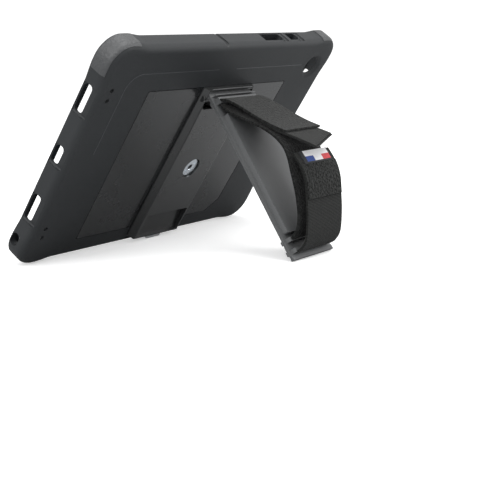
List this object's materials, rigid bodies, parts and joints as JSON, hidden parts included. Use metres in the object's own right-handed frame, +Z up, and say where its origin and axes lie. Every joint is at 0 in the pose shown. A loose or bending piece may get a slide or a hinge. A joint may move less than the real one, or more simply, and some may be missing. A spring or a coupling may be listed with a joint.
{
  "type": "tablet case with kickstand",
  "caption": "Rugged rubber tablet case standing on its open kickstand leg, with an elastic hand strap on the leg and blue shock pads inside.",
  "frame": {"origin": "centre of the case's footprint, on the surface it stands on, with the leg open", "axes": "+X along the case towards the camera hole, +Y towards the side where the screen shows, +Z up"},
  "size_m": [0.2584, 0.1784, 0.1529],
  "materials": {
    "bumper_rubber": "matte moulded TPU",
    "gloss_black": "satin gloss polycarbonate",
    "leg_plastic": "fine textured",
    "foot_grey": "satin grey",
    "steel": "plain",
    "nickel": "bright nickel plate",
    "screw_black": "blackened",
    "tray_grey": "satin",
    "liner_rubber": "matte",
    "pad_blue": "satin moulded rubber",
    "webbing": "woven elastic with loop pile",
    "tag_cloth": "woven label"
  },
  "bodies": {
    "case": {"back_shell": "bumper_rubber", "rail_top": "bumper_rubber", "rail_bottom": "bumper_rubber", "rail_left": "bumper_rubber", "rail_right": "bumper_rubber", "corner_guard_top_left": "bumper_rubber", "corner_guard_top_right": "bumper_rubber", "corner_guard_bottom_left": "bumper_rubber", "corner_guard_bottom_right": "bumper_rubber", "back_plate": "gloss_black", "stand_base": "gloss_black", "latch_housing": "gloss_black", "base_screws": "steel", "closure_magnet": "nickel", "magnet_screw": "screw_black", "hinge_pin": "steel", "inner_tray": "tray_grey", "tray_window": "tray_grey", "liner_centre": "liner_rubber", "liner_top": "liner_rubber", "liner_bottom": "liner_rubber", "liner_left": "liner_rubber", "liner_right": "liner_rubber", "shock_pad_top_left": "pad_blue", "shock_pad_top_right": "pad_blue", "shock_pad_bottom_left": "pad_blue", "shock_pad_bottom_right": "pad_blue"},
    "kickstand": {"leg_frame": "leg_plastic", "leg_panel": "gloss_black", "keeper_plate": "steel", "foot_bar": "foot_grey", "strap_lower": "webbing", "strap_inner": "webbing", "strap_upper": "webbing", "strap_end": "webbing", "strap_patch": "webbing", "strap_tag": "tag_cloth"},
    "latch": {"latch_tab": "leg_plastic"}
  },
  "joints": [
    {"name": "kickstand_hinge", "type": "hinge", "parent": "case", "child": "kickstand", "pos_m": [0.0075, -0.00011, 0.10779], "axis": [1, 0, 0], "range_deg": [0, 66.4]},
    {"name": "latch_slide", "type": "slide", "parent": "case", "child": "latch", "axis": [0, -0.5654, 0.8248], "range_m": [0, 0.0015], "stiffness_N_per_m": 400}
  ]
}
